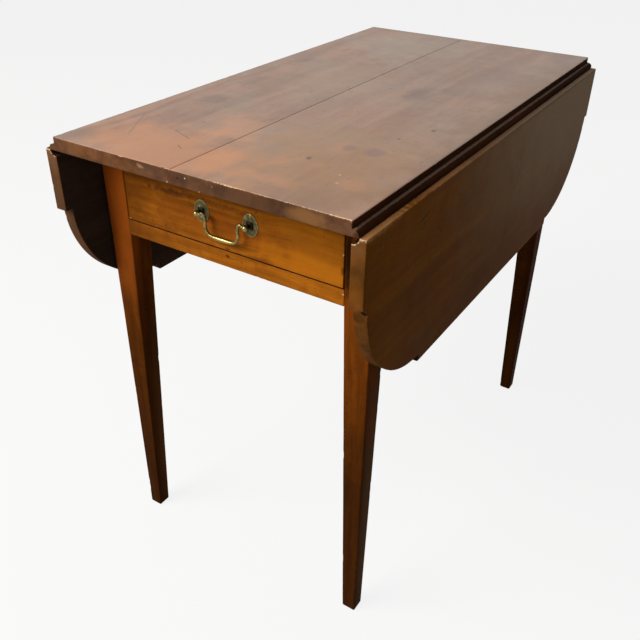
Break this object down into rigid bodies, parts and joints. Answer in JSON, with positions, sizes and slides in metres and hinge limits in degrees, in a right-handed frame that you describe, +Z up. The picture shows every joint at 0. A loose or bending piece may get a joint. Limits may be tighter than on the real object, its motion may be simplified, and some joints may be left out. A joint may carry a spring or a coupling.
{
  "type": "pembroke table",
  "caption": "Drop-leaf pembroke table with tapered legs, an end drawer with a bail pull, and ovolo-cornered leaves hung on rule joints.",
  "frame": {"origin": "on the floor under the middle of the top", "axes": "+X across the table towards the right leaf, +Y along the table away from the drawer, +Z up"},
  "size_m": [0.493, 0.863, 0.724],
  "materials": {
    "top_wood": "worn satin varnish, reddish brown",
    "leaf_wood": "worn satin varnish, dark brown",
    "leg_wood": "worn satin varnish, orange brown",
    "rail_wood": "worn satin varnish, honey brown",
    "drawer_front_wood": "worn satin varnish, honey brown",
    "inner_wood": "bare, aged secondary wood",
    "iron": "dark, oxidised",
    "brass": "tarnished with bright worn places"
  },
  "bodies": {
    "frame": {"back_apron": "rail_wood", "back_left_leg": "leg_wood", "back_right_leg": "leg_wood", "drawer_rail": "rail_wood", "drawer_stops": "inner_wood", "front_left_leg": "leg_wood", "front_right_leg": "leg_wood", "front_top_rail": "rail_wood", "glue_blocks": "inner_wood", "left_bracket_pin": "iron", "left_drawer_kicker": "inner_wood", "left_drawer_runner": "inner_wood", "left_fly_block": "inner_wood", "left_fly_end": "inner_wood", "left_hinge_pins": "iron", "left_hinge_top_flaps": "iron", "left_hinge_top_screws": "iron", "left_side_rail": "inner_wood", "right_bracket_pin": "iron", "right_drawer_kicker": "inner_wood", "right_drawer_runner": "inner_wood", "right_fly_block": "inner_wood", "right_fly_end": "inner_wood", "right_hinge_pins": "iron", "right_hinge_top_flaps": "iron", "right_hinge_top_screws": "iron", "right_side_rail": "inner_wood", "top_board_left": "top_wood", "top_board_right": "top_wood", "top_screws": "iron"},
    "right_leaf": {"right_leaf": "leaf_wood", "right_hinge_leaf_flaps": "iron", "right_hinge_leaf_screws": "iron"},
    "left_leaf": {"left_leaf": "leaf_wood", "left_hinge_leaf_flaps": "iron", "left_hinge_leaf_screws": "iron"},
    "drawer": {"drawer_front": "drawer_front_wood", "left_drawer_side": "inner_wood", "right_drawer_side": "inner_wood", "drawer_back": "inner_wood", "drawer_bottom": "inner_wood", "pull_rosettes": "brass", "pull_posts": "brass", "pull_nuts": "brass"},
    "bail": {"bail_handle": "brass"},
    "right_bracket": {"right_fly_bracket": "inner_wood"},
    "left_bracket": {"left_fly_bracket": "inner_wood"}
  },
  "joints": [
    {"name": "right_leaf_hinge", "type": "hinge", "parent": "frame", "child": "right_leaf", "pos_m": [0.2285, 0, 0.706], "axis": [0, -1, 0], "range_deg": [0, 90]},
    {"name": "left_leaf_hinge", "type": "hinge", "parent": "frame", "child": "left_leaf", "pos_m": [-0.2285, 0, 0.706], "axis": [0, 1, 0], "range_deg": [0, 90]},
    {"name": "drawer_slide", "type": "slide", "parent": "frame", "child": "drawer", "axis": [0, -1, 0], "range_m": [0, 0.38]},
    {"name": "bail_swing", "type": "hinge", "parent": "drawer", "child": "bail", "pos_m": [0, -0.373, 0.641], "axis": [-1, 0, 0], "range_deg": [0, 100]},
    {"name": "right_bracket_swing", "type": "hinge", "parent": "frame", "child": "right_bracket", "pos_m": [0.2078, -0.075, 0.65], "axis": [0, 0, -1], "range_deg": [0, 3]},
    {"name": "left_bracket_swing", "type": "hinge", "parent": "frame", "child": "left_bracket", "pos_m": [-0.2078, -0.075, 0.65], "axis": [0, 0, 1], "range_deg": [0, 3]}
  ]
}
